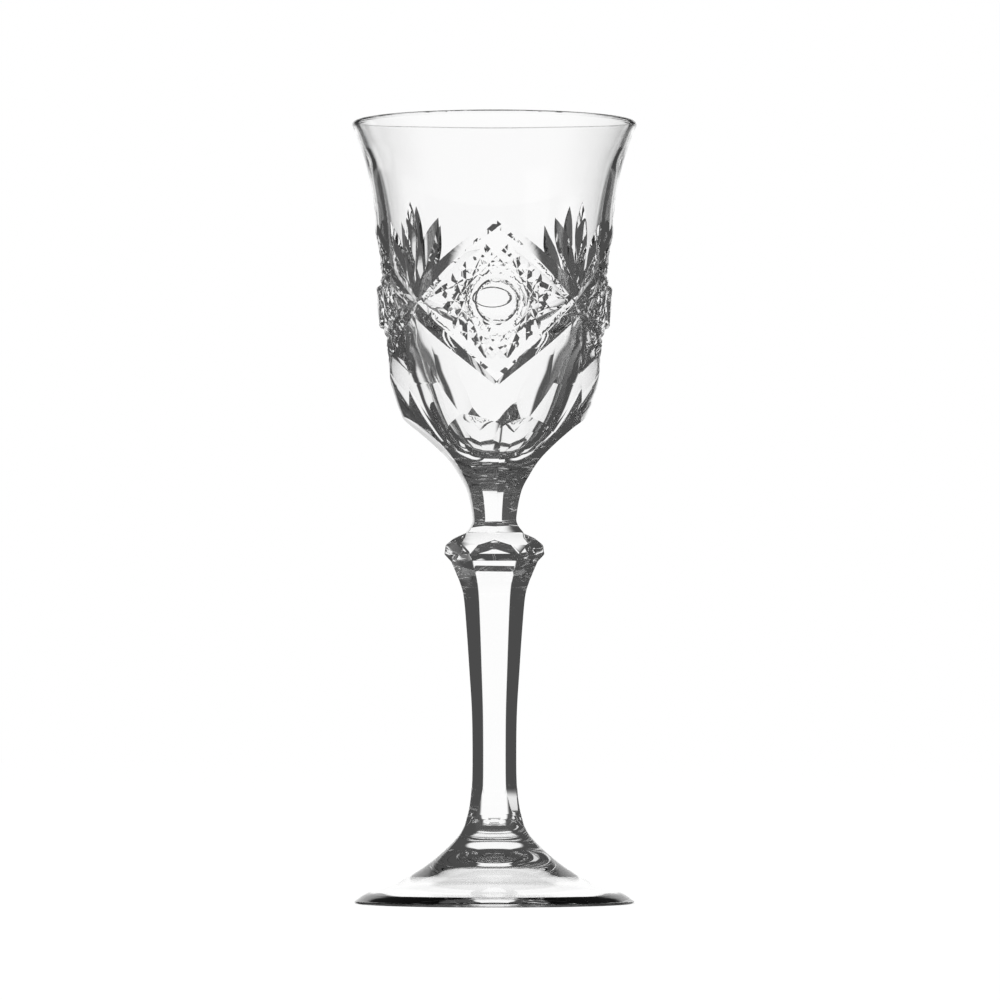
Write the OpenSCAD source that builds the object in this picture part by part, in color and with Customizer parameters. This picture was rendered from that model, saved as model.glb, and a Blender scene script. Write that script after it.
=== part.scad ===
// Cordial glass in cut crystal: bowl with a fluted neck, faceted knop, six-sided stem, round foot.
// Millimetres, +Z up. The origin is the centre of the foot's underside. Azimuths are in degrees,
// counted from the front (-Y) towards the right (+X).

/* [Bowl] */
// Height of the bowl with its drawn neck, from the knop to the lip
bowl_h = 76.4; // [70:0.1:90]
// Diameter over the flared lip
lip_d = 52.8; // [50:0.1:60]
// Diameter at the waist, below the flare
waist_d = 44.1; // [42:0.1:47]
// Diameter at the shoulder, where the cup turns in to the neck
shoulder_d = 34.1; // [31:0.1:37]
// Width over the flats of the neck at its thinnest
neck_w = 7.8; // [7:0.1:10]
// Turn of the neck's six flutes about the axis, in degrees
neck_turn = 4.95; // [-10:0.05:10]
// Height of the solid glass under the cup, from the knop to the cup's inner bottom
solid_h = 15.2; // [14:0.1:22]
// Thickness of the glass at the lip
lip_wall = 1.3; // [1:0.1:1.8]
// Thickness of the glass in the cut band
band_wall = 2.6; // [2.4:0.1:3.4]

/* [Cut pattern] */
// Number of diamonds round the bowl
diamond_count = 4; // [4:1:4]
// Height of a diamond from tip to tip
diamond_h = 29.4; // [26:0.1:30]
// Height of the diamonds' middle above the knop
diamond_z = 41.8; // [40:0.1:44]
// Turn of the whole pattern about the axis, in degrees
pattern_turn = 1.2; // [-10:0.1:10]
// Depth of the long mitre cuts at their crossings
mitre_depth = 1.3; // [1:0.05:1.5]
// Angle of the mitre wheel's edge away from the diamond, as if both flanks had it, in degrees
mitre_angle = 110; // [90:1:130]
// The same on the diamond's side, where the flank is flatter
inner_angle = 140; // [120:1:150]
// Depth of the leaf cuts that fan out above each crossing
leaf_depth = 1.25; // [0.5:0.05:1.4]
// Height of the tallest leaf above its crossing
leaf_h = 18.5; // [14:0.1:20]
// Depth of the ground field in each diamond, round the button
field_depth = 0.8; // [0.4:0.05:0.9]
// Depth of the star in that field
star_depth = 0.3; // [0.1:0.05:0.4]
// Diameter of the star over its points
star_d = 20; // [16:0.1:22]
// Number of points of the star
star_points = 8; // [6:2:12]
// Diameter of the flat round button in each star
button_d = 7.4; // [5:0.1:9]
// Height of an arch panel, from its tip down to the shoulder
panel_h = 16; // [12:0.1:18]
// Depth of an arch panel at the shoulder
panel_depth = 1.1; // [0.4:0.05:1.4]

/* [Knop] */
// Height of the knop
knop_h = 7.6; // [6:0.1:10]
// Diameter over the corners of its girdle
knop_d = 18.6; // [16:0.1:22]
// Width over the flats where the neck sits on it
neck_seat_w = 10.3; // [9:0.1:12]

/* [Stem] */
// Height of the stem, from the foot to the knop
stem_h = 46.5; // [36:0.1:60]
// Width over the corners at its top, under the knop
stem_top_w = 14.2; // [12:0.1:15]
// Width over the corners at its thinnest
stem_waist_w = 8.2; // [7:0.1:10]
// Diameter of its round end on the foot
stem_foot_d = 11; // [10:0.1:13]

/* [Foot] */
// Height of the foot
foot_h = 14.5; // [12:0.1:18]
// Diameter of the foot
foot_d = 51.8; // [44:0.1:60]
// Height of the foot's rounded edge
edge_h = 0.8; // [0.5:0.1:1.4]
// Width of the flat ring that the glass stands on, with the edge's rounding
ring_w = 3.7; // [2.4:0.1:4.5]
// Thickness of the glass over the hollow underside, straight up
foot_wall = 1.7; // [1.2:0.1:2.4]

/* [Hidden] */
crystal = [0.84, 0.89, 0.91];
sides = 6;
round_steps = 64;
corner_share = 1 / cos(180 / sides);

stem_z = foot_h;
knop_z = stem_z + stem_h;
neck_z = knop_z + knop_h;
lip_z = neck_z + bowl_h;
band_z = neck_z + diamond_z;
crossing_turn = 180 / diamond_count;

// Smooth curve through points, with steps straight pieces in each span
function curve_at(a, b, c, d, t) =
    0.5 * (2 * b + (c - a) * t + (2 * a - 5 * b + 4 * c - d) * t * t
    + (3 * b - a - 3 * c + d) * t * t * t);
function curve(points, steps) = concat(
    [for (i = [0:len(points) - 2], k = [0:steps - 1])
        curve_at(points[max(i - 1, 0)], points[i], points[i + 1],
            points[min(i + 2, len(points) - 1)], k / steps)],
    [points[len(points) - 1]]);
function radius_at(profile, z) = lookup(z, [for (p = profile) [p[1], p[0]]]);
function mix(a, b, share) = a + (b - a) * share;

// Bowl: the outline from the neck up, as radius and height, before any cutting.
// The heights are shares of the bowl's height and the radii lie between the named widths.
lip_r = lip_d / 2;
waist_r = waist_d / 2;
shoulder_r = shoulder_d / 2;
neck_r = neck_w / 2;
seat_r = neck_seat_w / 2;
lip_edge = lip_wall * 0.6;
waist_share = 0.7;
shoulder_share = 0.281;
bottom_share = 0.205;
function bowl_z(share) = neck_z + bowl_h * share;
bowl_outline = curve([
    [seat_r * 1.5, bowl_z(0)],
    [mix(seat_r, shoulder_r, 0.36), bowl_z(bottom_share * 0.6)],
    [mix(seat_r, shoulder_r, 0.74), bowl_z(bottom_share)],
    [shoulder_r, bowl_z(shoulder_share)],
    [mix(shoulder_r, waist_r, 0.38), bowl_z(0.352)],
    [mix(shoulder_r, waist_r, 0.66), bowl_z(0.42)],
    [mix(shoulder_r, waist_r, 0.88), bowl_z(0.51)],
    [mix(shoulder_r, waist_r, 0.97), bowl_z(0.6)],
    [waist_r, bowl_z(waist_share)],
    [mix(waist_r, lip_r, 0.09), bowl_z(0.802)],
    [mix(waist_r, lip_r, 0.37), bowl_z(0.887)],
    [mix(waist_r, lip_r, 0.75), bowl_z(0.955)],
    [lip_r, lip_z - lip_edge]], 2);

// Cup: the smooth inside, as radius and height
cup_z = neck_z + solid_h;
cup_depth = lip_z - cup_z;
function cup_at(share) = cup_z + cup_depth * share;
cup_outline = curve([
    [0, cup_at(0)],
    [shoulder_r * 0.176, cup_at(0.008)],
    [shoulder_r * 0.328, cup_at(0.034)],
    [shoulder_r * 0.446, cup_at(0.074)],
    [shoulder_r * 0.551, cup_at(0.124)],
    [shoulder_r * 0.669, cup_at(0.183)],
    [shoulder_r * 0.798, cup_at(0.248)],
    [shoulder_r * 0.95, cup_at(0.33)],
    [radius_at(bowl_outline, cup_at(0.45)) - band_wall, cup_at(0.45)],
    [radius_at(bowl_outline, cup_at(0.66)) - band_wall * 0.93, cup_at(0.66)],
    [radius_at(bowl_outline, cup_at(0.82)) - mix(band_wall, lip_wall, 0.5), cup_at(0.82)],
    [radius_at(bowl_outline, cup_at(0.93)) - lip_wall * 1.1, cup_at(0.93)],
    [lip_r - lip_wall, lip_z]], 2);

// Neck: six flutes that run out on the shoulder, as half the width over the flats and height
flute_outline = curve([
    [seat_r, bowl_z(0)],
    [mix(seat_r, neck_r, 0.82), bowl_z(0.019)],
    [neck_r, bowl_z(0.041)],
    [mix(neck_r, shoulder_r, 0.064), bowl_z(0.1)],
    [mix(neck_r, shoulder_r, 0.172), bowl_z(0.139)],
    [mix(neck_r, shoulder_r, 0.312), bowl_z(0.177)],
    [mix(neck_r, shoulder_r, 0.525), bowl_z(0.216)],
    [mix(neck_r, shoulder_r, 0.79), bowl_z(0.2555)],
    [shoulder_r, bowl_z(shoulder_share)],
    [shoulder_r * 1.25, bowl_z(0.33)],
    [shoulder_r * 1.6, bowl_z(0.39)]], 2);

function wrap(turn, period) = turn - period * round(turn / period);
function between(share) = max(0, min(1, share));
// Distance along the surface for a turn about the axis, in the middle of the cut band
band_r = radius_at(bowl_outline, band_z);
function along_band(turn) = band_r * turn * PI / 180;

// Depth of the V that a mitre wheel leaves, at a distance from its centre line
function v_depth(depth, distance, angle) = max(0, depth - distance / tan(angle / 2));

// Long mitre cuts: they border the diamonds and are deepest where they cross
tip_depth_share = 0.35;
mitre_lean = atan(diamond_h / 2 / along_band(crossing_turn));
function mitre_cut(turn, z) =
    let (across = abs(wrap(turn - pattern_turn, 2 * crossing_turn)) / crossing_turn)
    let (up = z - band_z)
    let (off_line = abs(abs(up) - diamond_h / 2 * (1 - across)) * cos(mitre_lean))
    let (depth = mitre_depth * mix(tip_depth_share, 1, cos(180 * up / diamond_h)))
    let (angle = abs(up) < diamond_h / 2 * (1 - across) ? inner_angle : mitre_angle)
    abs(up) > diamond_h / 2 ? 0 : v_depth(depth, off_line, angle);

// Fan of leaf cuts above a crossing. Each leaf has its lean as a share of the crossing's turn
// and its height as a share of the tallest leaf.
leaf_angle = 108;
leaf_swell = 1.6;
leaf_lean_shares = [-0.36, 0, 0.36];
leaf_height_shares = [0.83, 1, 0.83];
leaves = [0:len(leaf_lean_shares) - 1];
function leaf_cut(turn, z, leaf) =
    let (across = along_band(wrap(turn - pattern_turn - crossing_turn, 2 * crossing_turn)))
    let (up = z - band_z)
    let (tip_across = along_band(crossing_turn * leaf_lean_shares[leaf]))
    let (tip_up = leaf_h * leaf_height_shares[leaf])
    let (reach = norm([tip_across, tip_up]))
    let (share = (across * tip_across + up * tip_up) / reach / reach)
    let (off_line = abs(across * tip_up - up * tip_across) / reach)
    share < 0 || share > 1 ? 0
        : v_depth(leaf_depth * sin(180 * pow(share, leaf_swell)), off_line, leaf_angle);

// Field of a diamond: sunk up to the mitres that border it, but not at the tips and the button
star_r = star_d / 2;
button_r = button_d / 2;
field_tip_share = 0.95;
field_fade_share = 0.3;
button_slope_share = 0.12;
function field_cut(turn, z) =
    let (across = abs(wrap(turn - pattern_turn, 2 * crossing_turn)) / crossing_turn)
    let (up = abs(z - band_z) / (diamond_h / 2))
    let (out = norm([along_band(across * crossing_turn), z - band_z]))
    across + up > 1 ? 0
        : field_depth * between((field_tip_share - up) / field_fade_share)
            * between((out - button_r) / (star_r * button_slope_share));

// Star in the field: a pointed outline round the button
star_slope_share = 0.25;
star_waist_share = 0.6;
function star_cut(turn, z) =
    let (across = along_band(wrap(turn - pattern_turn, 2 * crossing_turn)))
    let (up = z - band_z)
    let (out = norm([across, up]))
    let (point = abs(wrap(atan2(up, across), 360 / star_points)) / (180 / star_points))
    let (reach = star_r * mix(1, star_waist_share, point))
    star_depth * between((out - button_r) / (star_r * star_slope_share))
        * between((reach - out) / (star_r * star_slope_share));

// Arch panel below a crossing: flat across, and deeper the further down it goes
panel_top_share = 0.12;
panel_end_share = 1.35;
function panel_r(turn, z) =
    let (across = wrap(turn - pattern_turn - crossing_turn, 2 * crossing_turn))
    let (share = (band_z - diamond_h * panel_top_share - z) / panel_h)
    share < 0 ? lip_d
        : (radius_at(bowl_outline, z) - panel_depth * pow(min(share, panel_end_share), 3)) / cos(across);

function flute_r(turn, z) =
    radius_at(flute_outline, z) / cos(wrap(turn - neck_turn - 180 / sides, 360 / sides));

// The bowl's cut surface: the innermost of the blank, the cuts, the panels and the flutes
function cut_r(turn, z) =
    let (diamond = field_cut(turn, z) + star_cut(turn, z))
    let (depths = [mitre_cut(turn, z), diamond, for (leaf = leaves) leaf_cut(turn, z, leaf)])
    min(radius_at(bowl_outline, z) - max(depths), panel_r(turn, z), flute_r(turn, z));

// Rings of points up the outside and down the inside. The band's rings and columns are spaced
// so that the long mitres run from point to point.
band_rows = 24;
fine_columns = band_rows * diamond_count;
coarse_columns = fine_columns / 2;
low_row_shares = [0, 0.019, 0.041, 0.07, 0.1, 0.139, 0.177, 0.216, 0.236, 0.2555, 0.2685, 0.281,
    0.297, 0.316, 0.335];
high_row_shares = [0.755, 0.775];
lip_row_shares = [0.81, 0.85, 0.89, 0.925, 0.955, 0.978];
function ring(columns, z, r) =
    [for (k = [0:columns - 1])
        let (turn = pattern_turn + 360 * k / columns)
        [r * sin(turn), -r * cos(turn), z]];
function cut_ring(z) =
    [for (k = [0:fine_columns - 1])
        let (turn = pattern_turn + 360 * k / fine_columns, r = cut_r(turn, z))
        [r * sin(turn), -r * cos(turn), z]];
bowl_rings = concat(
    [for (share = low_row_shares) cut_ring(bowl_z(share))],
    [for (i = [0:band_rows]) cut_ring(band_z + diamond_h * (i / band_rows - 0.5))],
    [for (share = high_row_shares) cut_ring(bowl_z(share))],
    [for (share = lip_row_shares)
        ring(coarse_columns, bowl_z(share), radius_at(bowl_outline, bowl_z(share)))],
    [ring(coarse_columns, lip_z - lip_edge, lip_r),
        ring(coarse_columns, lip_z, lip_r - lip_wall * 0.3),
        ring(coarse_columns, lip_z, lip_r - lip_wall)],
    [for (i = [len(cup_outline) - 2:-1:1])
        ring(coarse_columns, cup_outline[i][1], cup_outline[i][0])]);
ring_starts = [
    for (i = 0, start = 0; i < len(bowl_rings); start = start + len(bowl_rings[i]), i = i + 1) start];

// Triangles between two rings, given where each starts and how many points it has.
// A square cell is split along its lower diagonal, so that the bottom of a cut stays sharp.
function low_diagonal(points, a, b, c, d) =
    norm([points[a][0], points[a][1]]) + norm([points[c][0], points[c][1]])
    < norm([points[b][0], points[b][1]]) + norm([points[d][0], points[d][1]]);
function strip(points, low, low_count, high, high_count) =
    low_count == high_count
        ? [for (k = [0:low_count - 1])
            let (n = (k + 1) % low_count, a = low + k, b = low + n, c = high + n, d = high + k)
            each low_diagonal(points, a, b, c, d) ? [[a, c, b], [a, d, c]] : [[a, d, b], [b, d, c]]]
        : [for (k = [0:high_count - 1])
            let (n = (k + 1) % high_count, a = low + 2 * k, b = a + 1, c = low + (2 * k + 2) % low_count)
            each [[a, high + k, b], [b, high + k, high + n], [b, high + n, c]]];

module bowl() {
    last = len(bowl_rings) - 1;
    count = ring_starts[last] + len(bowl_rings[last]);
    points = concat([for (r = bowl_rings) each r], [[0, 0, neck_z], [0, 0, cup_z]]);
    faces = concat(
        [for (k = [0:fine_columns - 1]) [k, (k + 1) % fine_columns, count]],
        [for (i = [0:last - 1])
            each strip(points, ring_starts[i], len(bowl_rings[i]),
                ring_starts[i + 1], len(bowl_rings[i + 1]))],
        [for (k = [0:coarse_columns - 1])
            [ring_starts[last] + k, count + 1, ring_starts[last] + (k + 1) % coarse_columns]]);
    color(crystal)
        polyhedron(points, faces, convexity = 4);
}

// Knop: an upper set of six facets in three tiers meets a lower set turned by half a facet,
// so the girdle between them runs in a zigzag. Points are the radius at the corners, and height.
knop_r = knop_d / 2;
stem_top_r = stem_top_w / 2;
flat_share = cos(180 / sides);
module knop() {
    color(crystal)
    intersection() {
        rotate([0, 0, 180 / sides])
            rotate_extrude($fn = sides)
            polygon([[0, knop_z], [knop_r * 1.3, knop_z],
                [knop_r * corner_share, knop_z + knop_h * 0.47],
                [knop_r * 0.97 * corner_share, knop_z + knop_h * 0.63],
                [knop_r * 0.83 * corner_share, knop_z + knop_h * 0.75],
                [seat_r * corner_share, neck_z], [0, neck_z]]);
        rotate_extrude($fn = sides)
            polygon([[0, knop_z], [stem_top_r, knop_z],
                [mix(stem_top_r, knop_r, 0.46), knop_z + knop_h * 0.25],
                [knop_r, knop_z + knop_h * 0.47],
                [knop_r * 1.35, neck_z], [0, neck_z]]);
    }
}

// Stem: six flats that flare up into the knop and run out in a round end on the foot
stem_waist_r = stem_waist_w / 2;
stem_foot_r = stem_foot_d / 2;
function stem_at(share) = stem_z + stem_h * share;
stem_outline = curve([
    [stem_foot_r, stem_at(0)],
    [mix(stem_foot_r, stem_waist_r, 0.62), stem_at(0.075)],
    [mix(stem_foot_r, stem_waist_r, 0.93), stem_at(0.16)],
    [stem_waist_r, stem_at(0.28)],
    [mix(stem_waist_r, stem_top_r, 0.04), stem_at(0.45)],
    [mix(stem_waist_r, stem_top_r, 0.2), stem_at(0.62)],
    [mix(stem_waist_r, stem_top_r, 0.38), stem_at(0.79)],
    [mix(stem_waist_r, stem_top_r, 0.55), stem_at(0.91)],
    [mix(stem_waist_r, stem_top_r, 0.78), stem_at(0.966)],
    [stem_top_r, stem_at(1)]], 2);
flat_end_share = 0.15;
function flat_swell(z) = mix(corner_share, 1, min(1, (z - stem_z) / (stem_h * flat_end_share)));
module stem() {
    color(crystal)
    intersection() {
        rotate_extrude($fn = round_steps)
            polygon(concat([[0, stem_z]], stem_outline, [[0, knop_z]]));
        rotate_extrude($fn = sides)
            polygon(concat([[0, stem_z]], [for (p = stem_outline) [p[0] * flat_swell(p[1]), p[1]]],
                [[0, knop_z]]));
    }
}

// Foot: a thin low cone that sweeps up to the stem, hollow underneath, flat on its outer ring
foot_r = foot_d / 2;
edge_r = edge_h / 2;
foot_top = curve([
    [foot_r - edge_h, edge_h * 1.5],
    [mix(stem_foot_r, foot_r, 0.65), foot_h * 0.24],
    [mix(stem_foot_r, foot_r, 0.385), foot_h * 0.45],
    [mix(stem_foot_r, foot_r, 0.2), foot_h * 0.655],
    [mix(stem_foot_r, foot_r, 0.06), foot_h * 0.855],
    [stem_foot_r, foot_h]], 2);
foot_hollow = curve([
    [0, foot_h * 0.593],
    [stem_foot_r * 0.55, foot_h * 0.581],
    [stem_foot_r * 1.09, foot_h * 0.538],
    [mix(stem_foot_r, foot_r, 0.2), foot_h * 0.655 - foot_wall * 1.72],
    [mix(stem_foot_r, foot_r, 0.385), foot_h * 0.45 - foot_wall * 1.15],
    [mix(stem_foot_r, foot_r, 0.65), foot_h * 0.24 - foot_wall],
    [foot_r - ring_w * 1.16, foot_wall * 0.32],
    [foot_r - ring_w, 0]], 2);
edge_bulge = [for (a = [-90:30:60]) [foot_r - edge_r * (1 - cos(a)), edge_r * (1 + sin(a))]];
module foot() {
    color(crystal)
    rotate_extrude($fn = round_steps)
        polygon(concat(foot_hollow, edge_bulge, foot_top, [[0, foot_h]]));
}

bowl();
knop();
stem();
foot();
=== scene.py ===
# %% [markdown]
# # A cordial glass in cut crystal
#
# The glass is four gathers of clear crystal, fused hot: the bowl with its drawn neck, the knop,
# the stem and the foot. A glass is the hardest kind of object to light, because its own colour
# is nothing and all that shows is what it bends. So this lesson spends its effort on two things:
# the exact shape of every ground cut, and a studio whose bright and dark parts the cuts pick up.
#
# The first cell loads the measured model. Everything made later stays inside its box.

# %% Load the measured model
import math

import bmesh
import bpy
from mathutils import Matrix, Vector


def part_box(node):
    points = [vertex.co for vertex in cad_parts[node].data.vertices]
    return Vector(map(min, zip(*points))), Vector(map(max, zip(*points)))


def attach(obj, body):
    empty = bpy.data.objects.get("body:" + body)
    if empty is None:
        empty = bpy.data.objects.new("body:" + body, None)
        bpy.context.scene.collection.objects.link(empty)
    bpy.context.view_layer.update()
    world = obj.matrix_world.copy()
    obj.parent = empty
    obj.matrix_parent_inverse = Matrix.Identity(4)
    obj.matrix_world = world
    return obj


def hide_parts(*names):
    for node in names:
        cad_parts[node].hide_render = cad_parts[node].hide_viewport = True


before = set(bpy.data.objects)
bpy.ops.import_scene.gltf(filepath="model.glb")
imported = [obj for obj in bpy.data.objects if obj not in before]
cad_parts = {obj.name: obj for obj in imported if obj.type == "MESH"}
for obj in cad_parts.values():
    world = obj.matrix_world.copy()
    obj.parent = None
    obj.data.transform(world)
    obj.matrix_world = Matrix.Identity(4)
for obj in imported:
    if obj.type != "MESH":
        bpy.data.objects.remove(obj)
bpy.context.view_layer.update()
MM = 0.001

# %% [markdown]
# ## Where the gathers meet
#
# The seams, the lip and the foot are read from the measured model, so that each piece made here
# fills the place of the solid that it stands for.

# %% Read the seams from the measured model
bowl_low, bowl_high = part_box("bowl")
foot_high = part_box("foot")[1]
neck_z = bowl_low.z
lip_z = bowl_high.z
lip_r = bowl_high.x
knop_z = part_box("knop")[0].z
stem_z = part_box("stem")[0].z
foot_r = foot_high.x
bowl_h = lip_z - neck_z
stem_h = knop_z - stem_z
print("seams at mm:", round(stem_z / MM, 2), round(knop_z / MM, 2), round(neck_z / MM, 2))

# %% [markdown]
# ## Outlines
#
# A glassworker checks a profile against a few gauge points and lets the curve run fair between
# them. A Catmull-Rom curve does the same: it passes through each gauge point and stays smooth.
# Each point is a radius and a height.

# %% A fair curve through gauge points
def fair_curve(points, steps):
    out = []
    last = len(points) - 1
    for i in range(last):
        a, b = points[max(i - 1, 0)], points[i]
        c, d = points[i + 1], points[min(i + 2, last)]
        for k in range(steps):
            t = k / steps
            out.append(tuple(
                0.5 * (2 * b[j] + (c[j] - a[j]) * t
                       + (2 * a[j] - 5 * b[j] + 4 * c[j] - d[j]) * t * t
                       + (3 * b[j] - a[j] - 3 * c[j] + d[j]) * t * t * t)
                for j in range(2)))
    out.append(tuple(points[last]))
    return out


def radius_at(outline, z):
    """Radius of an outline at a height."""
    for (r0, z0), (r1, z1) in zip(outline, outline[1:]):
        if z0 <= z <= z1:
            return r0 + (r1 - r0) * (z - z0) / max(z1 - z0, 1e-9)
    return outline[0][0] if z < outline[0][1] else outline[-1][0]


def mix(a, b, share):
    """A at share 0, b at share 1, and evenly between them."""
    return a + (b - a) * share


# %% Gauge points of the bowl, outside
waist_r = 22.05 * MM
shoulder_r = 17.05 * MM
neck_r = 3.9 * MM
seat_r = 5.15 * MM
lip_wall = 1.3 * MM
band_wall = 2.6 * MM
BOWL_STEPS = 8


def bowl_at(share):
    return neck_z + bowl_h * share


bowl_outline = fair_curve([
    (seat_r * 1.5, bowl_at(0)),
    (mix(seat_r, shoulder_r, 0.36), bowl_at(0.123)),
    (mix(seat_r, shoulder_r, 0.74), bowl_at(0.205)),
    (shoulder_r, bowl_at(0.281)),
    (mix(shoulder_r, waist_r, 0.38), bowl_at(0.352)),
    (mix(shoulder_r, waist_r, 0.66), bowl_at(0.42)),
    (mix(shoulder_r, waist_r, 0.88), bowl_at(0.51)),
    (mix(shoulder_r, waist_r, 0.97), bowl_at(0.6)),
    (waist_r, bowl_at(0.7)),
    (mix(waist_r, lip_r, 0.09), bowl_at(0.802)),
    (mix(waist_r, lip_r, 0.37), bowl_at(0.887)),
    (mix(waist_r, lip_r, 0.75), bowl_at(0.955)),
    (lip_r, lip_z - lip_wall * 0.6)], BOWL_STEPS)
print("bowl outline:", len(bowl_outline), "points")

# %% [markdown]
# ## Turning a shape on the lathe
#
# A round piece is an outline turned about the axis. Blender has a Screw modifier for this, but
# building the rings in bmesh gives a closed solid at once, with one point where the outline
# meets the axis. The same helper makes six-sided shapes: six turns give six flat sides.

# %% The lathe
ON_AXIS = 1e-7


def new_piece(bm, name):
    """Object from a bmesh, with every face turned outward."""
    bmesh.ops.recalc_face_normals(bm, faces=bm.faces)
    mesh = bpy.data.meshes.new(name)
    bm.to_mesh(mesh)
    bm.free()
    piece = bpy.data.objects.new(name, mesh)
    bpy.context.scene.collection.objects.link(piece)
    return piece


def lathe(name, outline, turns, phase=0.0):
    """Closed solid of revolution. The outline starts on the axis, goes up and comes back to it."""
    bm = bmesh.new()
    angles = [phase + math.tau * k / turns for k in range(turns)]
    rings = []
    for r, z in outline:
        if r < ON_AXIS:
            rings.append([bm.verts.new((0, 0, z))])
        else:
            rings.append([bm.verts.new((r * math.sin(a), -r * math.cos(a), z)) for a in angles])
    for low, high in zip(rings, rings[1:]):
        for k in range(turns):
            n = (k + 1) % turns
            corners = [low[k], low[n]] if len(low) > 1 else [low[0]]
            corners += [high[n], high[k]] if len(high) > 1 else [high[0]]
            if len(corners) > 2:
                bm.faces.new(corners)
    return new_piece(bm, name)


# %% [markdown]
# ## Grinding
#
# Each cut on the real bowl is one pass of a grinding wheel, and the glass that is left is the
# blank minus the wheel's path. A Boolean modifier is the same idea. The Manifold solver is quick
# and keeps the edges of the cuts crisp, which is what makes cut glass glitter. A bump map can't
# stand in for it, because light has to bend through the real facets.

# %% Boolean helper
def grind(piece, cutter, operation="DIFFERENCE"):
    """Cut one piece with another, and throw the cutter away."""
    mod = piece.modifiers.new("grind", "BOOLEAN")
    mod.operation = operation
    mod.solver = "MANIFOLD"
    mod.object = cutter
    depsgraph = bpy.context.evaluated_depsgraph_get()
    mesh = bpy.data.meshes.new_from_object(piece.evaluated_get(depsgraph))
    piece.modifiers.remove(mod)
    old = piece.data
    piece.data = mesh
    mesh.name = piece.name
    bpy.data.meshes.remove(old)
    spent = cutter.data
    bpy.data.objects.remove(cutter)
    bpy.data.meshes.remove(spent)


# %% Points on the bowl, and the way out of the glass there
slope_step = 0.3 * MM


def on_bowl(turn, z):
    r = radius_at(bowl_outline, z)
    return Vector((r * math.sin(turn), -r * math.cos(turn), z))


def surface_out(turn, z):
    up = on_bowl(turn, z + slope_step) - on_bowl(turn, z - slope_step)
    round_way = Vector((math.cos(turn), math.sin(turn), 0))
    return round_way.cross(up).normalized()


print("radius in the middle of the bowl, mm:", round(radius_at(bowl_outline, bowl_at(0.5)) / MM, 2))

# %% [markdown]
# A mitre wheel has a V edge. Its path is a V-shaped trough that follows the surface: at each
# station along the cut the trough has one corner at the bottom of the cut and two corners proud
# of the glass. A station is a turn about the axis, a height, and the depth of the cut there. The
# two flanks may differ: a wheel held at a slant leaves one flank flatter than the other.

# %% The mitre wheel's path
def close_tube(bm, rings):
    """Faces between rings that have the same number of corners, and a flat face at each end."""
    corners = len(rings[0])
    for low, high in zip(rings, rings[1:]):
        for k in range(corners):
            n = (k + 1) % corners
            bm.faces.new([low[k], low[n], high[n], high[k]])
    bm.faces.new(rings[0][::-1])
    bm.faces.new(rings[-1])


def v_cut(name, stations, flanks, proud=1.0 * MM):
    """Cutter along stations of turn, height and depth. The flanks are angles from the way out."""
    bm = bmesh.new()
    rings = []
    last = len(stations) - 1
    left_slope, right_slope = (math.tan(flank) for flank in flanks)
    for i, (turn, z, depth) in enumerate(stations):
        before, after = stations[max(i - 1, 0)], stations[min(i + 1, last)]
        out = surface_out(turn, z)
        along = (on_bowl(after[0], after[1]) - on_bowl(before[0], before[1])).normalized()
        left = out.cross(along).normalized()
        bottom = on_bowl(turn, z) - out * depth
        rise = depth + proud
        rings.append([bm.verts.new(bottom),
                      bm.verts.new(bottom + (out + left * left_slope) * rise),
                      bm.verts.new(bottom + (out - left * right_slope) * rise)])
    close_tube(bm, rings)
    bmesh.ops.triangulate(bm, faces=bm.faces)
    return new_piece(bm, name)


# %% [markdown]
# ## The bowl's blank
#
# Before cutting, the bowl is a thick cup on a solid neck. The neck has six hollow flutes. Six
# flat-sided turns of the flute outline make them, and where that shape meets the round cup the
# flutes end in arches by themselves, as they do under a real wheel.

# %% Gauge points of the flutes
FLUTES = 6
flat_to_corner = 1 / math.cos(math.pi / FLUTES)
neck_turn = math.radians(5.5)
flute_outline = fair_curve([
    (seat_r, bowl_at(0)),
    (mix(seat_r, neck_r, 0.82), bowl_at(0.019)),
    (neck_r, bowl_at(0.041)),
    (mix(neck_r, shoulder_r, 0.064), bowl_at(0.1)),
    (mix(neck_r, shoulder_r, 0.172), bowl_at(0.139)),
    (mix(neck_r, shoulder_r, 0.312), bowl_at(0.177)),
    (mix(neck_r, shoulder_r, 0.525), bowl_at(0.216)),
    (mix(neck_r, shoulder_r, 0.79), bowl_at(0.2555)),
    (shoulder_r, bowl_at(0.281)),
    (shoulder_r * 1.25, bowl_at(0.33)),
    (shoulder_r * 1.6, bowl_at(0.39))], BOWL_STEPS)
print("neck across its flats, mm:", round(2 * neck_r / MM, 2))

# %% Blank with six flutes
ROUND = 320
LIP_STEPS = 6
OVERRUN = 5 * MM
lip_round = lip_wall / 2


def lip_arc(middle_r, side, steps):
    """Round of the lip from its flank up: side 1 is the outer flank, -1 the inner one."""
    angles = [math.pi / 2 * k / LIP_STEPS for k in range(1, steps + 1)]
    return [(middle_r + side * lip_round * math.cos(a),
             lip_z - lip_round + lip_round * math.sin(a)) for a in angles]


outer_lip = lip_arc(lip_r - lip_round, 1, LIP_STEPS)
bowl = lathe("crystal_bowl", [(0, neck_z)] + bowl_outline + outer_lip + [(0, lip_z)], ROUND)
flutes = lathe("flutes", [(0, neck_z)] + [(r * flat_to_corner, z) for r, z in flute_outline]
               + [(lip_r * 2, bowl_at(0.42)), (lip_r * 2, lip_z + OVERRUN), (0, lip_z + OVERRUN)],
               FLUTES, neck_turn)
grind(bowl, flutes, "INTERSECT")
print("fluted blank:", len(bowl.data.polygons), "faces")

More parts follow.
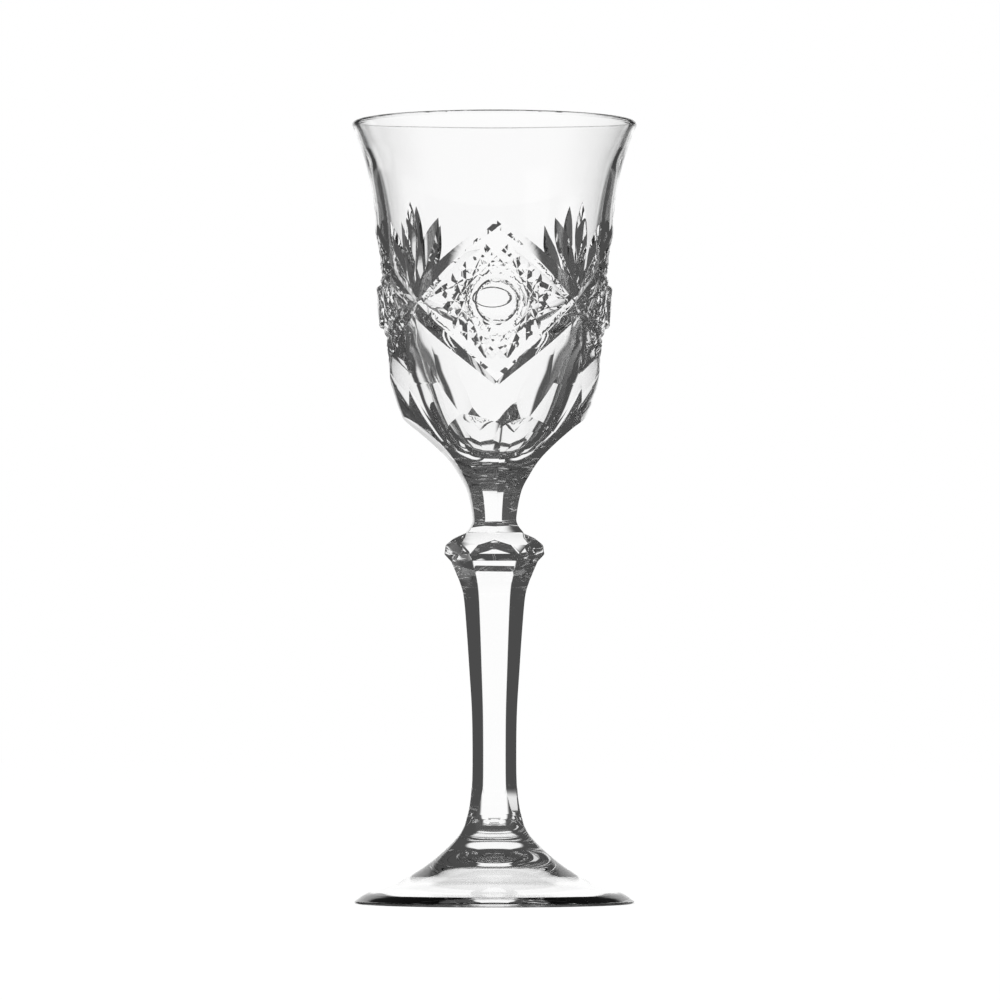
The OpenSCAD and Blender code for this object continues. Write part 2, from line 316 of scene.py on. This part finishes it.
# %% [markdown]
# The inside follows the outside at the thickness of the wall, thickest at the band that takes
# the cuts. Towards the solid neck it closes in a bowl of its own. The lip is a half round: its
# outer quarter belongs to the blank, its inner quarter to the cutter.

# %% The inside of the cup
cup_depth = 61.2 * MM
lip_clearance = 0.01 * MM


def cup_at(share):
    return lip_z - cup_depth * (1 - share)


def inside_r(share, wall):
    return radius_at(bowl_outline, cup_at(share)) - wall


cup_outline = fair_curve([
    (0, cup_at(0)),
    (shoulder_r * 0.176, cup_at(0.008)),
    (shoulder_r * 0.328, cup_at(0.034)),
    (shoulder_r * 0.446, cup_at(0.074)),
    (shoulder_r * 0.551, cup_at(0.124)),
    (shoulder_r * 0.669, cup_at(0.183)),
    (shoulder_r * 0.798, cup_at(0.248)),
    (shoulder_r * 0.95, cup_at(0.33)),
    (inside_r(0.45, band_wall), cup_at(0.45)),
    (inside_r(0.66, band_wall * 0.93), cup_at(0.66)),
    (inside_r(0.82, mix(band_wall, lip_wall, 0.5)), cup_at(0.82)),
    (inside_r(0.93, lip_wall * 1.1), cup_at(0.93)),
    (lip_r - lip_wall, lip_z - lip_round)], BOWL_STEPS)
inner_lip = lip_arc(lip_r - lip_wall + lip_round, -1, LIP_STEPS - 1)
inside = lathe("inside", cup_outline + inner_lip
               + [(lip_r - lip_round, lip_z + lip_clearance),
                  (lip_r - lip_round, lip_z + OVERRUN), (0, lip_z + OVERRUN)], ROUND)
grind(bowl, inside)
print("bowl blank:", len(bowl.data.polygons), "faces")

# %% [markdown]
# ## The sunk fields
#
# Each diamond is ground down by most of a millimetre, except for a round button in its middle.
# In the photograph the buttons at the two sides stand proud of the outline, which shows it. The
# field's tool is a patch of the bowl's own surface, pushed in by the depth of the field.

# %% Size and depth of the diamond fields
DIAMONDS = 4
crossing_turn = math.pi / DIAMONDS
pattern_turn = math.radians(1.2)
band_z = neck_z + 41.8 * MM
band_r = radius_at(bowl_outline, band_z)
diamond_h = 29.4 * MM
half_w = crossing_turn * band_r
half_h = diamond_h / 2
field_depth = 0.8 * MM
field_end_share = 0.95
field_fade_share = 0.3
button_r = 3.7 * MM
button_slope = 0.5 * MM


def field_sunk(across, up):
    """Depth of the field at a point of the diamond, measured from its middle."""
    to_tip = max(0, min(1, (field_end_share - abs(up) / half_h) / field_fade_share))
    off_button = max(0, min(1, (math.hypot(across, up) - button_r) / button_slope))
    return field_depth * to_tip * off_button


print("diamonds, mm:", round(2 * half_w / MM, 1), "wide and", round(diamond_h / MM, 1), "high")

# %% The field's tool
BUTTON_RINGS = 4
FIELD_RINGS = 20
FIELD_SPOKES = 96
field_side_share = 0.99
button_clearance = 0.01 * MM


def field_point(i, k):
    """Spoke k of ring i. The rings are round at the button and pass into the diamond's sides."""
    a = math.tau * k / FIELD_SPOKES
    out = button_r * i / BUTTON_RINGS
    if i > BUTTON_RINGS:
        side = field_side_share / (abs(math.cos(a)) / half_w + abs(math.sin(a)) / half_h)
        share = (i - BUTTON_RINGS - 1) / (FIELD_RINGS - 1)
        out = mix(button_r + button_slope, side, share)
    return out * math.cos(a), out * math.sin(a)


def field_cutter(centre, proud=1.0 * MM):
    """Closed patch over one diamond, between the sunk field and a sheet proud of the glass."""
    bm = bmesh.new()
    rims = []
    for sunk in (True, False):
        rings = []
        for i in range(BUTTON_RINGS + FIELD_RINGS + 1):
            ring = []
            for k in range(FIELD_SPOKES if i else 1):
                across, up = field_point(i, k)
                turn, z = centre + across / band_r, band_z + up
                depth = field_sunk(across, up) - button_clearance if sunk else -proud
                ring.append(bm.verts.new(on_bowl(turn, z) - surface_out(turn, z) * depth))
            rings.append(ring)
        for low, high in zip(rings, rings[1:]):
            for k in range(FIELD_SPOKES):
                n = (k + 1) % FIELD_SPOKES
                bm.faces.new([low[0], high[k], high[n]] if len(low) == 1
                             else [low[k], high[k], high[n], low[n]])
        rims.append(rings[-1])
    for k in range(FIELD_SPOKES):
        n = (k + 1) % FIELD_SPOKES
        bm.faces.new([rims[0][k], rims[0][n], rims[1][n], rims[1][k]])
    bmesh.ops.triangulate(bm, faces=bm.faces)
    return new_piece(bm, "field")


for i in range(DIAMONDS):
    grind(bowl, field_cutter(pattern_turn + i * 2 * crossing_turn))
print("with fields:", len(bowl.data.polygons), "faces")

# %% [markdown]
# ## The long mitres
#
# Eight long V cuts run round the cup in both directions and cross between the diamonds. They
# are the deepest cuts, deepest at the crossings, where the cutter leans on the wheel. Each is
# cut in two halves from the crossing, because its flatter flank is always on the diamond's side.

# %% Long mitre cuts
mitre_depth = 1.3 * MM
mitre_end_share = 0.35
outer_flank = math.radians(55)
inner_flank = math.radians(70)
MITRE_STATIONS = 20
for hand in (1, -1):
    flanks = [inner_flank, outer_flank] if hand == 1 else [outer_flank, inner_flank]
    for i in range(DIAMONDS):
        crossing = pattern_turn + (2 * i + 1) * crossing_turn
        for half in (1, -1):
            stations = []
            for k in range(MITRE_STATIONS + 1):
                share = half * k / MITRE_STATIONS
                lean_in = mix(mitre_end_share, 1, math.cos(math.pi / 2 * share))
                stations.append((crossing + hand * crossing_turn * share,
                                 band_z - half * half_h * abs(share), mitre_depth * lean_in))
            grind(bowl, v_cut("mitre", stations, flanks))
print("with mitres:", len(bowl.data.polygons), "faces")

# %% [markdown]
# ## Leaf fans
#
# Three leaf-shaped cuts fan out above each crossing. A wheel that touches a curved cup leaves a
# leaf: narrow where it enters, wide near the end, and a point where it lifts off.

# %% Leaf fans above the crossings
leaf_depth = 1.25 * MM
leaf_h = 18.5 * MM
leaf_flank = math.radians(54)
leaf_start_share = 0.08
leaf_swell = 1.6
leaf_lean_shares = [-0.36, 0, 0.36]
leaf_height_shares = [0.83, 1, 0.83]
LEAF_STATIONS = 20
for i in range(DIAMONDS):
    crossing = pattern_turn + (2 * i + 1) * crossing_turn
    for lean, height in zip(leaf_lean_shares, leaf_height_shares):
        stations = []
        for k in range(LEAF_STATIONS + 1):
            share = mix(leaf_start_share, 1, k / LEAF_STATIONS)
            stations.append((crossing + crossing_turn * lean * share,
                             band_z + leaf_h * height * share,
                             leaf_depth * math.sin(math.pi * share ** leaf_swell)))
        grind(bowl, v_cut("leaf", stations, [leaf_flank, leaf_flank]))
print("with leaf fans:", len(bowl.data.polygons), "faces")

# %% [markdown]
# ## Hobstars
#
# Inside each field sixteen chords are laid round the button, and each runs on nearly to the sides
# of the diamond. Five steps apart they cross in the star's tips. The longest ones cross again in
# the diamond's corners. They are wide enough to take the edge off the button on their way past,
# and that beads it.

# %% Hobstars in the diamonds
CHORDS = 16
TIPS_APART = 5
star_r = 10.6 * MM
chord_near = star_r * math.cos(math.pi * TIPS_APART / CHORDS)
chord_depth = 0.4 * MM
chord_flank = math.radians(65)
chord_proud = 0.3 * MM
chord_step = 0.8 * MM
CHORD_REACH = 24
chord_end_share = 0.85
chord_fade_share = 0.1


def chord_stations(centre, lean):
    """Stations along one chord, as far as it lies inside the diamond."""
    stations = []
    for k in range(-CHORD_REACH, CHORD_REACH + 1):
        across = chord_near * math.cos(lean) - chord_step * k * math.sin(lean)
        up = chord_near * math.sin(lean) + chord_step * k * math.cos(lean)
        out_share = abs(across) / half_w + abs(up) / half_h
        if out_share < chord_end_share:
            fade = min(1, (chord_end_share - out_share) / chord_fade_share)
            stations.append((centre + across / band_r, band_z + up,
                             field_sunk(across, up) + chord_depth * fade))
    return stations


for i in range(DIAMONDS):
    centre = pattern_turn + i * 2 * crossing_turn
    for c in range(CHORDS):
        stations = chord_stations(centre, math.tau * c / CHORDS)
        grind(bowl, v_cut("chord", stations, [chord_flank, chord_flank], chord_proud))
print("with hobstars:", len(bowl.data.polygons), "faces")

# %% [markdown]
# ## Arch panels
#
# Under each crossing a broad panel is ground off the cup, flat across and deeper towards the
# neck. It ends in a pointed arch, because it fades out where the crossing is.

# %% Arch panels below the crossings
panel_h = 16 * MM
panel_depth = 1.1 * MM
panel_top = band_z - diamond_h * 0.12
panel_end_share = 1.35
panel_curve = 3
PANEL_ROWS = 40


def panel_cutter(turn):
    """Block outside the panel. Its near side is flat across and sinks in on the way down."""
    out = Vector((math.sin(turn), -math.cos(turn), 0))
    side = Vector((math.cos(turn), math.sin(turn), 0)) * waist_r
    far = out * 2 * waist_r
    bm = bmesh.new()
    rows = []
    for k in range(PANEL_ROWS + 1):
        share = panel_end_share * k / PANEL_ROWS
        z = panel_top - panel_h * share
        near = out * (radius_at(bowl_outline, z) - panel_depth * share ** panel_curve)
        corners = [near - side, near + side, far + side, far - side]
        rows.append([bm.verts.new(corner + Vector((0, 0, z))) for corner in corners])
    close_tube(bm, rows)
    return new_piece(bm, "panel")


for i in range(DIAMONDS):
    grind(bowl, panel_cutter(pattern_turn + (2 * i + 1) * crossing_turn))
print("with arch panels:", len(bowl.data.polygons), "faces")

# %% [markdown]
# ## Polished edges
#
# After grinding, the glass is dipped in acid or buffed, which takes the knife edge off every
# corner. The narrow round that is left shows as a thin white line. A bevel on the sharp edges
# gives the same line. On the bowl only the neck's edges get it, because the cuts above are
# crisp in the photograph. The rims at the fused seams stay, so that the pieces still meet.

# %% Softening sharp edges
SEAM_GAP = 1e-6
SOFT_STEPS = 3
neck_soft = 0.15 * MM
neck_edge = math.radians(30)


def soften(piece, sharper_than, width, seams, below=math.inf):
    """Bevel the edges that are sharper than an angle and lie below a height."""
    bm = bmesh.new()
    bm.from_mesh(piece.data)
    sharp = []
    for edge in bm.edges:
        on_seam = any(all(abs(v.co.z - z) < SEAM_GAP for v in edge.verts) for z in seams)
        low_enough = max(v.co.z for v in edge.verts) < below
        if len(edge.link_faces) == 2 and low_enough and not on_seam:
            if edge.calc_face_angle() > sharper_than:
                sharp.append(edge)
    bmesh.ops.bevel(bm, geom=sharp, offset=width, segments=SOFT_STEPS, profile=0.5,
                    affect="EDGES", clamp_overlap=True)
    bm.to_mesh(piece.data)
    bm.free()
    print(piece.name, "edges softened:", len(sharp))


soften(bowl, neck_edge, neck_soft, [neck_z], bowl_at(0.2))

# %% [markdown]
# ## The knop
#
# Two sets of six facets meet at the knop's girdle. The upper set is turned by half a facet, so
# the girdle between them zigzags round the knop and catches the light. The upper facets bend
# twice on their way in to the neck, which makes the knop's full shoulder.

# %% Knop
knop_h = neck_z - knop_z
knop_r = 9.3 * MM
stem_top_r = 7.1 * MM
knop_soft = 0.25 * MM
knop_edge = math.radians(20)
half_facet = math.pi / FLUTES
knop = lathe("crystal_knop", [
    (0, knop_z), (knop_r * 1.3, knop_z),
    (knop_r * flat_to_corner, knop_z + knop_h * 0.47),
    (knop_r * 0.97 * flat_to_corner, knop_z + knop_h * 0.7),
    (knop_r * 0.8 * flat_to_corner, knop_z + knop_h * 0.86),
    (seat_r * flat_to_corner, neck_z), (0, neck_z)], FLUTES, 0)
lower_facets = lathe("lower_facets", [
    (0, knop_z - OVERRUN), (stem_top_r, knop_z - OVERRUN), (stem_top_r, knop_z),
    (mix(stem_top_r, knop_r, 0.45), knop_z + knop_h * 0.3),
    (knop_r, knop_z + knop_h * 0.47),
    (knop_r * 1.2, neck_z), (knop_r * 1.2, neck_z + OVERRUN), (0, neck_z + OVERRUN)],
    FLUTES, half_facet)
grind(knop, lower_facets, "INTERSECT")
soften(knop, knop_edge, knop_soft, [knop_z, neck_z])
print("knop:", len(knop.data.polygons), "faces")

# %% [markdown]
# ## The stem
#
# The stem is drawn round and then ground flat on six sides. The flats flare up into the knop
# and run out near the foot, where the round drawn glass shows again.

# %% Stem
stem_waist_r = 4.1 * MM
stem_foot_r = 5.5 * MM
stem_soft = 0.15 * MM
stem_edge = math.radians(30)
flat_end_share = 0.15
STEM_STEPS = 10
STEM_ROUND = 96


def stem_at(share):
    return stem_z + stem_h * share


stem_outline = fair_curve([
    (stem_foot_r, stem_at(0)),
    (mix(stem_foot_r, stem_waist_r, 0.62), stem_at(0.075)),
    (mix(stem_foot_r, stem_waist_r, 0.93), stem_at(0.16)),
    (stem_waist_r, stem_at(0.28)),
    (mix(stem_waist_r, stem_top_r, 0.04), stem_at(0.45)),
    (mix(stem_waist_r, stem_top_r, 0.2), stem_at(0.62)),
    (mix(stem_waist_r, stem_top_r, 0.38), stem_at(0.79)),
    (mix(stem_waist_r, stem_top_r, 0.55), stem_at(0.91)),
    (mix(stem_waist_r, stem_top_r, 0.78), stem_at(0.966)),
    (stem_top_r, stem_at(1))], STEM_STEPS)


def flats_r(r, z):
    """Corner radius of the flats. At the foot they touch the round stem, higher up they cut it."""
    up_share = min(1, (z - stem_z) / (stem_h * flat_end_share))
    return r * mix(flat_to_corner, 1, up_share)


stem = lathe("crystal_stem", [(0, stem_z)] + stem_outline + [(0, knop_z)], STEM_ROUND)
flats_outline = [(flats_r(r, z), z) for r, z in stem_outline]
flats = lathe("flats", [(0, stem_z)] + flats_outline + [(0, knop_z)], FLUTES, half_facet)
grind(stem, flats, "INTERSECT")
soften(stem, stem_edge, stem_soft, [stem_z, knop_z])
print("stem:", len(stem.data.polygons), "faces")

# %% [markdown]
# ## The foot
#
# The foot is a gather pressed and spun into a thin cone, hollow underneath. It stands on a narrow
# flat ring. The hollow follows the top, so the cone bends light little and shows pale rings. Only
# at the edge does the top roll over steeply, and that roll is the dark band round the foot.

# %% Foot
foot_h = foot_high.z
edge_h = 0.6 * MM
ring_w = 0.9 * MM
foot_wall = 1.7 * MM
EDGE_STEPS = 8
FOOT_STEPS = 10
FOOT_ROUND = 256
foot_top = fair_curve([
    (foot_r - edge_h * 0.3, edge_h * 0.9),
    (mix(stem_foot_r, foot_r, 0.926), foot_h * 0.103),
    (mix(stem_foot_r, foot_r, 0.868), foot_h * 0.141),
    (mix(stem_foot_r, foot_r, 0.65), foot_h * 0.24),
    (mix(stem_foot_r, foot_r, 0.385), foot_h * 0.45),
    (mix(stem_foot_r, foot_r, 0.2), foot_h * 0.655),
    (mix(stem_foot_r, foot_r, 0.06), foot_h * 0.855),
    (stem_foot_r, foot_h)], FOOT_STEPS)
edge_angles = [math.radians(mix(-90, 45, k / EDGE_STEPS)) for k in range(EDGE_STEPS + 1)]
edge_arc = [(foot_r - edge_h / 2 + edge_h / 2 * math.cos(a), edge_h / 2 + edge_h / 2 * math.sin(a))
            for a in edge_angles]
hollow = fair_curve([
    (0, foot_h * 0.593),
    (stem_foot_r * 0.55, foot_h * 0.581),
    (stem_foot_r * 1.09, foot_h * 0.538),
    (mix(stem_foot_r, foot_r, 0.2), foot_h * 0.655 - foot_wall * 1.72),
    (mix(stem_foot_r, foot_r, 0.385), foot_h * 0.45 - foot_wall * 1.15),
    (mix(stem_foot_r, foot_r, 0.65), foot_h * 0.24 - foot_wall),
    (mix(stem_foot_r, foot_r, 0.82), foot_wall * 0.38),
    (foot_r - ring_w, 0)], FOOT_STEPS)
foot = lathe("crystal_foot", hollow + edge_arc + foot_top + [(0, foot_h)], FOOT_ROUND)
print("foot:", len(foot.data.polygons), "faces")

# %% [markdown]
# ## Crystal
#
# Lead crystal bends light more than window glass: its index is about 1.55. The Principled shader
# with full transmission does the bending and the shine. The shine is turned down by half with
# the specular tint, so that the bright room that the glass mirrors stays pale on it. Two things
# keep it from looking like a computed solid: the very faint waviness that fire polishing leaves,
# and a trace of roughness where hands have wiped it. Shadow rays pass, because real crystal
# throws almost no shadow.

# %% Helpers for shader nodes
def new_material(name):
    """Material with an empty node tree."""
    mat = bpy.data.materials.new(name)
    mat.use_nodes = True
    mat.node_tree.nodes.clear()
    return mat


def add_node(tree, kind, inputs):
    """Node whose inputs are each set to a value, or linked to another node's output."""
    node = tree.nodes.new(kind)
    for name, value in inputs.items():
        if isinstance(value, bpy.types.NodeSocket):
            tree.links.new(value, node.inputs[name])
        else:
            node.inputs[name].default_value = value
    return node


def add_mix(tree, first, second, factor):
    """Shader that goes from first to second by a factor."""
    node = add_node(tree, "ShaderNodeMixShader", {"Fac": factor, 1: first, 2: second})
    return node.outputs["Shader"]


def add_clear(tree, colour=(1, 1, 1, 1)):
    """Shader that lets light straight through."""
    return add_node(tree, "ShaderNodeBsdfTransparent", {"Color": colour}).outputs["BSDF"]


# %% Crystal material
CRYSTAL_INDEX = 1.55
WIPED_ROUGHNESS = 0.012
wave_h = 0.02 * MM


def add_noise(tree, scale, detail):
    """Noise that is fixed to the piece."""
    place = tree.nodes.new("ShaderNodeTexCoord").outputs["Object"]
    return add_node(tree, "ShaderNodeTexNoise",
                    {"Vector": place, "Scale": scale, "Detail": detail}).outputs["Fac"]


def crystal_material():
    mat = new_material("crystal")
    tree = mat.node_tree
    wiped = add_node(tree, "ShaderNodeMapRange", {
        "Value": add_noise(tree, 90, 3), "From Min": 0.45, "From Max": 0.8,
        "To Min": 0.0, "To Max": WIPED_ROUGHNESS})
    waves = add_node(tree, "ShaderNodeBump", {
        "Height": add_noise(tree, 160, 1), "Strength": 0.1, "Distance": wave_h})
    glass = add_node(tree, "ShaderNodeBsdfPrincipled", {
        "Base Color": (1, 1, 1, 1), "Transmission Weight": 1.0, "IOR": CRYSTAL_INDEX,
        "Specular Tint": (0.5, 0.5, 0.5, 1), "Roughness": wiped.outputs["Result"],
        "Normal": waves.outputs["Normal"]})
    path = tree.nodes.new("ShaderNodeLightPath")
    shader = add_mix(tree, glass.outputs["BSDF"], add_clear(tree, (0.93, 0.94, 0.94, 1)),
                     path.outputs["Is Shadow Ray"])
    add_node(tree, "ShaderNodeOutputMaterial", {"Surface": shader})
    return mat


def seam_material():
    """The fused seam inside the glass. No surface is left there, so light passes straight on."""
    mat = new_material("fused_seam")
    add_node(mat.node_tree, "ShaderNodeOutputMaterial", {"Surface": add_clear(mat.node_tree)})
    return mat


crystal = crystal_material()
seam = seam_material()
print("materials:", crystal.name, "with index", CRYSTAL_INDEX, "and", seam.name)

# %% [markdown]
# ## Smooth where it was blown, crisp where it was ground
#
# The mesh is shaded smooth, and every edge sharper than a set angle is marked sharp. The flat
# ends of each piece are fused seams: they keep the mesh closed, but take the clear material, so
# that the four gathers look like one piece of glass.

# %% Shading, seams, and riding on the body
GROUND_EDGE = math.radians(12)
ROLLED_EDGE = math.radians(40)
LEVEL = 0.999


def finish_piece(piece, node, seams, sharp_angle):
    mesh = piece.data
    mesh.materials.clear()
    mesh.materials.append(crystal)
    mesh.materials.append(seam)
    for face in mesh.polygons:
        face.use_smooth = True
        level = abs(face.normal.z) > LEVEL
        at_seam = any(abs(face.center.z - z) < SEAM_GAP for z in seams)
        face.material_index = 1 if level and at_seam else 0
    mesh.set_sharp_from_angle(angle=sharp_angle)
    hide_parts(node)
    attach(piece, "root")
    fused = sum(face.material_index for face in mesh.polygons)
    print(piece.name, "has", len(mesh.polygons), "faces,", fused, "of them fused")


finish_piece(bowl, "bowl", [neck_z], GROUND_EDGE)
finish_piece(knop, "knop", [knop_z, neck_z], GROUND_EDGE)
finish_piece(stem, "stem", [stem_z, knop_z], GROUND_EDGE)
finish_piece(foot, "foot", [foot_h], ROLLED_EDGE)

# %% [markdown]
# ## The studio
#
# Clear glass is shot in bright field: a white sheet behind it, dark all round that sheet. Light
# that comes straight through is white, and light that is bent past the sheet's edge is dark, so
# each edge draws itself in grey. The world does both jobs here. The camera sees plain white.
# The glass sees white sheets with an edge, and grey past the edge. The largest sheet stands
# behind the glass for the camera, and smaller ones serve views from the sides and from behind.
# What the glass mirrors at its front is the bright room, so that the reflections stay pale. All
# else gets plain soft light.

# %% Helpers for the world's light
def add_math(tree, operation, first, second):
    """Math node. Each input is a number or another node's output."""
    node = add_node(tree, "ShaderNodeMath", {0: first, 1: second})
    node.operation = operation
    return node.outputs["Value"]


def add_fade(tree, value, start, end, low=0.0, high=1.0):
    """Smooth step from low to high while the value goes from start to end."""
    node = add_node(tree, "ShaderNodeMapRange", {
        "Value": value, "From Min": start, "From Max": end, "To Min": low, "To Max": high})
    node.interpolation_type = "SMOOTHSTEP"
    return node.outputs["Result"]


def add_light(tree, level):
    """Light of one grey level, which is a number or another node's output."""
    colour = (level, level, level, 1) if isinstance(level, float) else level
    return add_node(tree, "ShaderNodeBackground", {"Color": colour}).outputs["Background"]


# %% One upright sheet, by the side it stands on and its edges in degrees
SOFT_EDGE = 7
NEVER_ZERO = 1e-6


def sine(degrees):
    return math.sin(math.radians(degrees))


def cosine(degrees):
    return math.cos(math.radians(degrees))


def add_sheet(tree, direction, side, half_width, bottom, top, level):
    """How white the sheet is in a direction. Side 0 is behind the glass, 90 to its left."""
    x, y, z = direction
    towards = add_math(tree, "ADD", add_math(tree, "MULTIPLY", x, -sine(side)),
                       add_math(tree, "MULTIPLY", y, cosine(side)))
    flat_squared = add_math(tree, "SUBTRACT", 1.0, add_math(tree, "MULTIPLY", z, z))
    flat = add_math(tree, "POWER", add_math(tree, "MAXIMUM", flat_squared, NEVER_ZERO), 0.5)
    in_width = add_fade(tree, add_math(tree, "DIVIDE", towards, flat),
                        cosine(half_width + SOFT_EDGE), cosine(half_width))
    over_bottom = add_fade(tree, z, sine(bottom - SOFT_EDGE), sine(bottom))
    under_top = add_fade(tree, z, sine(top), sine(top + SOFT_EDGE), 1, 0)
    in_height = add_math(tree, "MULTIPLY", over_bottom, under_top)
    inside = add_math(tree, "MULTIPLY", in_width, in_height)
    return add_math(tree, "MULTIPLY", inside, level)


# %% World with white sheets and a grey surround
GREY = 0.07
ROOM_STARTS = 0.15
ROOM_FULL = -0.35
# Each sheet's side, half width, bottom and top in degrees, and how white it is.
SHEETS = [
    (0, 16, -35, 36, 1.0),
    (45, 9, -33, -19, 0.8),
    (90, 10, -13, 9, 0.7),
    (225, 10, -24, -6, 0.8)]

world = bpy.data.worlds.new("studio")
bpy.context.scene.world = world
world.use_nodes = True
sky = world.node_tree
sky.nodes.clear()
path = sky.nodes.new("ShaderNodeLightPath")
place = sky.nodes.new("ShaderNodeTexCoord")
split = add_node(sky, "ShaderNodeSeparateXYZ", {"Vector": place.outputs["Generated"]})
direction = [split.outputs[axis] for axis in "XYZ"]

white = 0.0
for sheet in SHEETS:
    white = add_math(sky, "MAXIMUM", white, add_sheet(sky, direction, *sheet))
behind = add_fade(sky, white, 0, 1, GREY, 1)
room = add_fade(sky, direction[1], ROOM_STARTS, ROOM_FULL, GREY, 1)
in_front = add_math(sky, "MAXIMUM", behind, room)

light = add_mix(sky, add_light(sky, 1.0), add_light(sky, in_front), path.outputs["Is Glossy Ray"])
light = add_mix(sky, light, add_light(sky, behind), path.outputs["Is Transmission Ray"])
light = add_mix(sky, light, add_light(sky, 1.0), path.outputs["Is Camera Ray"])
add_node(sky, "ShaderNodeOutputWorld", {"Surface": light})
print("world:", len(SHEETS), "white sheets, grey", GREY)

# %% [markdown]
# ## The floor
#
# A sheet of white paper that runs out of the picture. Most of its white is its own light, so
# that it is as white as the backdrop, and the rest takes the glass's soft shadow. Rays that
# come out of the glass pass through it, because the world already holds the white and the grey
# that they should see.

# %% Floor
PAPER_GLOW = 0.85
floor_w = 6
bpy.ops.mesh.primitive_plane_add(size=floor_w)
floor = bpy.context.object
floor.name = "floor"
floor_mat = new_material("white_paper")
paper = floor_mat.node_tree
matt = add_node(paper, "ShaderNodeBsdfDiffuse", {"Color": (1, 1, 1, 1)}).outputs["BSDF"]
glow = paper.nodes.new("ShaderNodeEmission").outputs["Emission"]
path = paper.nodes.new("ShaderNodeLightPath")
from_glass = add_math(paper, "MAXIMUM", path.outputs["Is Transmission Ray"],
                      path.outputs["Is Glossy Ray"])
seen = add_mix(paper, add_mix(paper, matt, glow, PAPER_GLOW), add_clear(paper), from_glass)
add_node(paper, "ShaderNodeOutputMaterial", {"Surface": seen})
floor.data.materials.append(floor_mat)
print("floor:", floor_w, "m wide,", PAPER_GLOW, "of its white is glow")

# %% [markdown]
# One soft box high at the left front gives the paper the glass's faint shadow. The glass itself
# is lit by the world alone, so the lamp is kept out of what it mirrors and bends.

# %% Lamp
lamp_aim = Vector((0, 0, 0.05))
lamp_data = bpy.data.lights.new("softbox", "AREA")
lamp_data.energy = 3
lamp_data.size = 0.6
lamp = bpy.data.objects.new("softbox", lamp_data)
lamp.location = (-0.3, -0.3, 1.1)
lamp.rotation_euler = (lamp_aim - lamp.location).to_track_quat("-Z", "Y").to_euler()
lamp.visible_glossy = False
lamp.visible_transmission = False
bpy.context.scene.collection.objects.link(lamp)
print("lamp:", lamp_data.energy, "W, at", [round(v, 2) for v in lamp.location])

# %% [markdown]
# ## The camera
#
# The photograph was taken with a long lens from just above the table, level with the foot, so
# the foot shows its top and the lip shows its underside.

# %% Camera
SENSOR_MM = 36
LENS_MM = 244.8
camera_back = 1.26
camera_h = 0.037
tilt_up = math.radians(1.714)
swing = math.radians(-0.047)
camera_data = bpy.data.cameras.new("camera")
camera_data.sensor_width = SENSOR_MM
camera_data.lens = LENS_MM
camera_data.clip_end = 20
camera = bpy.data.objects.new("camera", camera_data)
camera.location = (0, -camera_back, camera_h)
camera.rotation_euler = (math.pi / 2 + tilt_up, 0, swing)
bpy.context.scene.collection.objects.link(camera)
bpy.context.scene.camera = camera
print("camera:", camera_back, "m in front of the glass")

# %% [markdown]
# Light crosses many facets before it leaves cut glass. With too few bounces those paths end in
# black, so the limits are raised. The colours are shown as they are, by the Standard view.

# %% Bounces and view
BOUNCES = 24
scene = bpy.context.scene
scene.view_settings.view_transform = "Standard"
scene.cycles.max_bounces = BOUNCES
scene.cycles.transmission_bounces = BOUNCES
scene.cycles.transparent_max_bounces = BOUNCES
scene.cycles.glossy_bounces = BOUNCES // 2
print("bounces:", BOUNCES)
